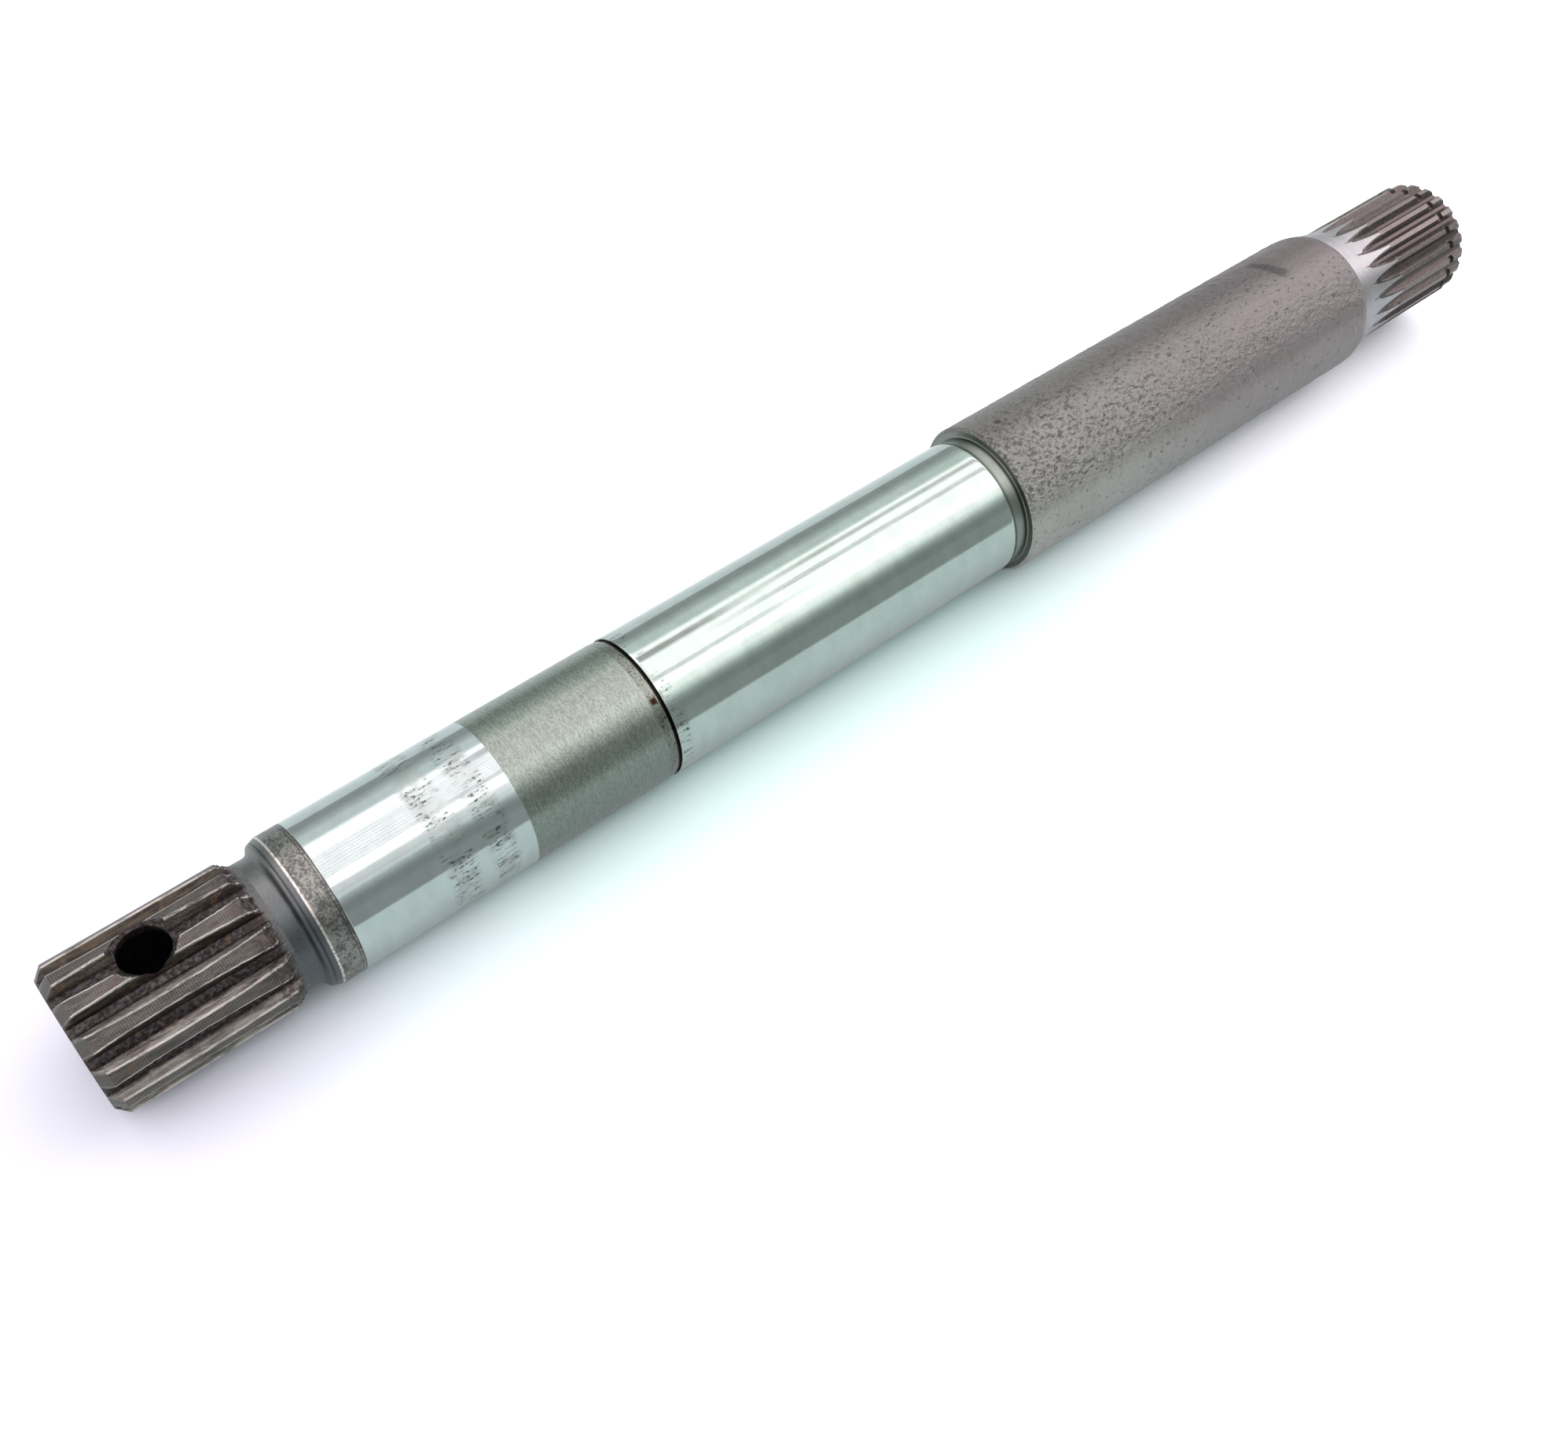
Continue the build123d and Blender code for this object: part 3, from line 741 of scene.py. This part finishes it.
def fine_spline_finish():
    """Bright ground neck, brown worn lands and dark gaps with a lighter line on their floors, and painted
    shade in the centre hole.
    """
    f = Finish("fine_spline_steel")
    t = f.tree
    spot = f.attribute("spot")
    lines = noise(t, stretched(t, f.place, 5.0, 0.2, 0.2), 1.0, 3, 0.6)
    grain = noise(t, f.place, 2.0, 4, 0.6)
    neck = mixed(t, step(t, lines, 0.3, 0.7), (0.305, 0.315, 0.325), (0.370, 0.380, 0.390))
    teeth = mixed(t, step(t, grain, 0.3, 0.7), (0.135, 0.124, 0.120), (0.195, 0.180, 0.172))
    top = mixed(t, step(t, f.along, FINE_TEETH - 0.7, FINE_TEETH - 0.1), neck, teeth)
    flank = mixed(t, step(t, grain, 0.35, 0.7), (0.064, 0.058, 0.054), (0.112, 0.100, 0.094))
    full = step(t, f.along, 289.0, 293.0)
    floor = mixed(t, times(t, full, 0.8), flank, (0.115, 0.094, 0.088))
    gap = mixed(t, step(t, spot, 0.30, 0.24), flank, floor)
    colour = mixed(t, step(t, spot, 0.59, 0.635), gap, top)
    ring = within(t, f.along, RING_GROOVE[0], RING_GROOVE[1], 0.08)
    colour = mixed(t, times(t, ring, 0.35), colour, (0.09, 0.075, 0.07))
    # painted shade: the centre hole is painted dark inside
    painted_hole_shade = step(t, f.radius, CENTRE_MOUTH, CENTRE_MOUTH - 1.5)
    colour = mixed(t, painted_hole_shade, colour, (0.05, 0.045, 0.042))
    rough = plus(t, 0.26, times(t, grain, 0.16))
    f.set(Base_Color=colour, Metallic=0.9, Roughness=rough, Normal=bumped(t, grain, 0.00003))
    return f.material


def build_shaft():
    skin = build_skin()
    shaft = bpy.data.objects.new("splined_shaft_skin", make_mesh(skin))
    bpy.context.scene.collection.objects.link(shaft)
    in_zone_order = (coarse_spline_finish, neck_and_band_finish, ground_finish, brushed_finish,
                     forged_finish, fine_spline_finish)
    for finish in in_zone_order:
        shaft.data.materials.append(finish())
    drill(shaft)
    shaft.data.shade_smooth()
    shaft.data.set_sharp_from_angle(angle=math.radians(38))
    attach(shaft, "root")
    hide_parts("splined_shaft")


# --- surroundings ------------------------------------------------------------------------------
def build_floor():
    """A pale sheet. The shaft lies on its forged body and, tipped a little, on its coarse teeth, so the
    sheet rises that much towards the left end. What the camera sees of it carries painted coloured light
    and shade."""
    contact = LOW.x + FORGED * MM
    teeth_touch = 12.0
    rise = (BODY_RADIUS - LEFT_TIP) / (FORGED - teeth_touch)
    half = 1.4
    corners = ((-half, -half), (half, -half), (half, half), (-half, half))
    mesh = bpy.data.meshes.new("floor")
    mesh.from_pydata([(x, y, (contact - x) * rise) for x, y in corners], [], [(0, 1, 2, 3)])
    floor = bpy.data.objects.new("floor", mesh)
    bpy.context.scene.collection.objects.link(floor)
    material = bpy.data.materials.new("pale_sheet")
    material.use_nodes = True
    t = material.node_tree
    t.nodes.clear()
    place = put(t, "ShaderNodeTexCoord").outputs["Object"]
    across = put(t, "ShaderNodeSeparateXYZ", None, {0: place}).outputs[0]
    fibre = noise(t, place, 900.0, 2, 0.5)
    # painted light and shade: the camera sees the sheet darker and lilac towards the left end, cyan under
    # the middle and palest at the right; this shows mostly in the shaft's shadow
    middle = within(t, across, -0.105, 0.055, 0.05)
    ends = mixed(t, step(t, across, -0.14, 0.05), (0.66, 0.71, 0.79), (0.88, 0.95, 1.0))
    seen = mixed(t, middle, ends, (0.665, 0.89, 0.87))
    seen = mixed(t, times(t, fibre, 0.03), seen, (0.6, 0.6, 0.6))
    path = put(t, "ShaderNodeLightPath")
    colour = mixed(t, path.outputs["Is Camera Ray"], (0.575, 0.655, 0.66), seen)
    surface = put(t, "ShaderNodeBsdfPrincipled", None, {
        "Base Color": colour, "Roughness": 0.9, "Specular IOR Level": 0.0})
    out = put(t, "ShaderNodeOutputMaterial")
    t.links.new(surface.outputs[0], out.inputs[0])
    mesh.materials.append(material)


# the room's brightness at each elevation, in degrees seen along the shaft from +Y over the top
BRIGHTEST = 3.2
STOPS = [
    (0, 0.55), (13, 0.55), (20, 0.72), (26, 0.87), (32, 1.15), (45, 1.2), (50, 2.35), (101, 2.35),
    (105, 2.7), (115, 2.7), (118, 2.1), (126, 1.9), (132, 1.3), (137, 0.80), (142, 0.55), (147, 0.42),
    (155, 0.42), (160, 0.48), (180, 0.48)]
# the darker seams between the panels: elevation from and to, softness, direction's x from and to,
# depth, and how much the slats add to it
SEAMS = [
    (68, 106, 2.0, -1.0, 0.28, 0.04, 0.40), (117, 130, 2.0, -1.0, 0.26, 0.34, 0.0),
    (97, 103, 1.8, 0.20, 0.44, 0.30, 0.3), (56, 67, 2.0, 0.24, 0.42, 0.60, 0.20),
    (54, 62, 1.5, 0.44, 1.0, 0.42, 0.25), (75, 82, 1.5, 0.42, 1.0, 0.30, 0.30)]
SLAT_PITCH = 4.4


def lamp_colour(level, warmth):
    """A level of light, a little redder where warmth is above 0."""
    return (level * (1 + 0.13 * warmth), level, level * (1 + 0.03 * warmth), 1)


def build_sky():
    """A soft room: bright panels overhead with a few darker seams, and dimmer walls."""
    world = bpy.data.worlds.new("soft_room")
    bpy.context.scene.world = world
    world.use_nodes = True
    t = world.node_tree
    t.nodes.clear()
    way = put(t, "ShaderNodeSeparateXYZ", None, {0: put(t, "ShaderNodeTexCoord").outputs["Generated"]})
    lift = times(t, calc(t, "ARCTAN2", way.outputs[2], way.outputs[1]), 180 / math.pi)
    side = way.outputs[0]
    ramp = put(t, "ShaderNodeValToRGB", None, {0: calc(t, "DIVIDE", lift, 180.0)})
    elements = ramp.color_ramp.elements
    while len(elements) > 1:
        elements.remove(elements[0])
    elements[0].position = 0.0
    elements[0].color = lamp_colour(STOPS[0][1] / BRIGHTEST, 0.0)
    for angle, level in STOPS[1:]:
        elements.new(angle / 180).color = lamp_colour(level / BRIGHTEST, float(smooth(1.2, 2.3, level)))
    slats = step(t, calc(t, "SINE", times(t, lift, 2 * math.pi / SLAT_PITCH)), 0.1, 0.7)
    shade = None
    for low, high, soft, left, right, depth, ribs in SEAMS:
        seam = times(t, within(t, lift, low, high, soft), within(t, side, left, right, 0.03))
        seam = times(t, seam, plus(t, depth, times(t, slats, ribs)))
        shade = seam if shade is None else most(t, shade, seam)
    light = put(t, "ShaderNodeBackground", None, {
        "Color": ramp.outputs[0], "Strength": times(t, minus(t, 1.0, shade), BRIGHTEST)})
    out = put(t, "ShaderNodeOutputWorld")
    t.links.new(light.outputs[0], out.inputs[0])


# the camera: its place in metres, and which way its right and its view point
CAMERA_PLACE = (-0.1509, -0.13284, 0.23817)
CAMERA_RIGHT = (0.7702, -0.6350, 0.0600)
CAMERA_VIEW = (0.4076, 0.4175, -0.8121)


def build_camera():
    data = bpy.data.cameras.new("camera")
    data.lens = 37.90
    data.sensor_width = 36.0
    data.clip_start = 0.01
    camera = bpy.data.objects.new("camera", data)
    bpy.context.scene.collection.objects.link(camera)
    right = Vector(CAMERA_RIGHT).normalized()
    back = -Vector(CAMERA_VIEW).normalized()
    right = (right - back * right.dot(back)).normalized()
    up = back.cross(right)
    turned = Matrix((right, up, back)).transposed().to_4x4()
    camera.matrix_world = Matrix.Translation(CAMERA_PLACE) @ turned
    bpy.context.scene.camera = camera


build_shaft()
build_floor()
build_sky()
build_camera()
bpy.context.scene.view_settings.view_transform = "Standard"
